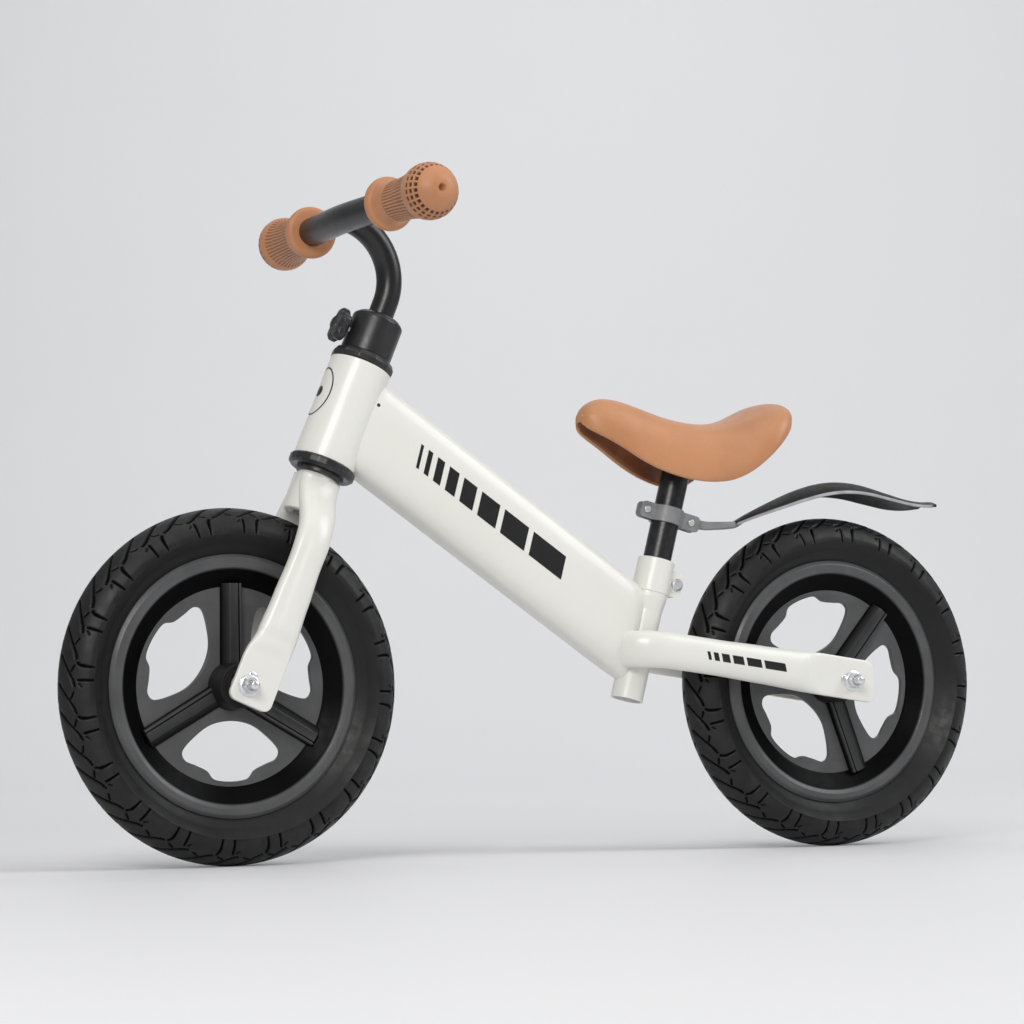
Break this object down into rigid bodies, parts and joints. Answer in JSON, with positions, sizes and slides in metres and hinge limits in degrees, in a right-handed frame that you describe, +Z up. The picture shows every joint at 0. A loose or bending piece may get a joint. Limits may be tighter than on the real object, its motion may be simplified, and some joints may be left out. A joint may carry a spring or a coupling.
{
  "type": "balance bike",
  "caption": "Child's balance bike with foam tyres, spoked plastic wheels, an adjustable stem and saddle, and a rear mudguard.",
  "frame": {"origin": "on the ground, midway between the two axles, on the bike's plane of symmetry", "axes": "+X forward, +Y to the rider's left, +Z up"},
  "size_m": [0.8874, 0.3568, 0.576],
  "materials": {
    "cream_paint": "satin gloss enamel",
    "black_paint": "gloss black enamel",
    "zinc_steel": "bright zinc plate",
    "dark_plastic": "satin moulded nylon",
    "tyre_foam": "matt foam rubber",
    "rim_plastic": "satin moulded plastic",
    "tan_rubber": "satin soft rubber",
    "tan_leather": "smooth satin synthetic leather",
    "brown_plastic": "moulded plastic",
    "grey_plastic": "satin moulded plastic",
    "guard_plastic": "satin moulded plastic"
  },
  "bodies": {
    "frame": {"head_tube": "cream_paint", "down_tube": "cream_paint", "seat_tube": "cream_paint", "chainstay_yoke": "cream_paint", "chainstay_left": "cream_paint", "chainstay_right": "cream_paint", "lower_cup": "dark_plastic", "lower_head_bearing": "zinc_steel", "upper_head_bearing": "zinc_steel", "seat_clamp": "cream_paint", "seat_clamp_bolt": "zinc_steel", "seat_clamp_nut": "zinc_steel", "rear_axle": "zinc_steel", "rear_spacer_left": "zinc_steel", "rear_spacer_right": "zinc_steel", "rear_washer_left": "zinc_steel", "rear_washer_right": "zinc_steel", "rear_nut_left": "zinc_steel", "rear_nut_right": "zinc_steel"},
    "fork": {"steerer_tube": "zinc_steel", "fork_crown": "cream_paint", "crown_seal": "dark_plastic", "lock_nut": "dark_plastic", "stem_collar": "dark_plastic", "fork_blade_left": "cream_paint", "fork_blade_right": "cream_paint", "front_axle": "zinc_steel", "front_spacer_left": "zinc_steel", "front_spacer_right": "zinc_steel", "front_washer_left": "zinc_steel", "front_washer_right": "zinc_steel", "front_nut_left": "zinc_steel", "front_nut_right": "zinc_steel"},
    "knob": {"clamp_knob": "dark_plastic", "knob_screw": "zinc_steel"},
    "handlebar": {"stem_tube": "black_paint", "handlebar_tube": "black_paint", "grip_left": "tan_rubber", "grip_right": "tan_rubber"},
    "front_wheel": {"front_tyre": "tyre_foam", "front_rim": "rim_plastic", "front_bearing_left": "zinc_steel", "front_bearing_right": "zinc_steel"},
    "rear_wheel": {"rear_tyre": "tyre_foam", "rear_rim": "rim_plastic", "rear_bearing_left": "zinc_steel", "rear_bearing_right": "zinc_steel"},
    "seat": {"seat_post": "black_paint", "saddle_cover": "tan_leather", "saddle_pan": "brown_plastic", "strap_left": "grey_plastic", "strap_right": "grey_plastic", "strap_rivet_front": "zinc_steel", "strap_rivet_rear": "zinc_steel"},
    "mudguard": {"mudguard_arm": "grey_plastic", "mudguard_blade": "guard_plastic"}
  },
  "joints": [
    {"name": "steer", "type": "hinge", "parent": "frame", "child": "fork", "pos_m": [0.1885, 0, 0.381], "axis": [-0.3907, 0, 0.9205], "range_deg": [-60, 60]},
    {"name": "front_wheel_spin", "type": "hinge", "parent": "fork", "child": "front_wheel", "pos_m": [0.2937, 0, 0.15], "axis": [0, 1, 0], "continuous": true},
    {"name": "rear_wheel_spin", "type": "hinge", "parent": "frame", "child": "rear_wheel", "pos_m": [-0.2937, 0, 0.15], "axis": [0, 1, 0], "continuous": true},
    {"name": "handlebar_height", "type": "slide", "parent": "fork", "child": "handlebar", "axis": [-0.3907, 0, 0.9205], "range_m": [0, 0.06]},
    {"name": "knob_turn", "type": "hinge", "parent": "fork", "child": "knob", "pos_m": [0.16056, 0, 0.44682], "axis": [0.9205, 0, 0.3907], "continuous": true},
    {"name": "seat_height", "type": "slide", "parent": "frame", "child": "seat", "axis": [-0.2588, 0, 0.9659], "range_m": [0, 0.06]},
    {"name": "mudguard_tilt", "type": "hinge", "parent": "seat", "child": "mudguard", "pos_m": [-0.15022, 0, 0.29356], "axis": [0, 1, 0], "range_deg": [-3, 8]}
  ]
}
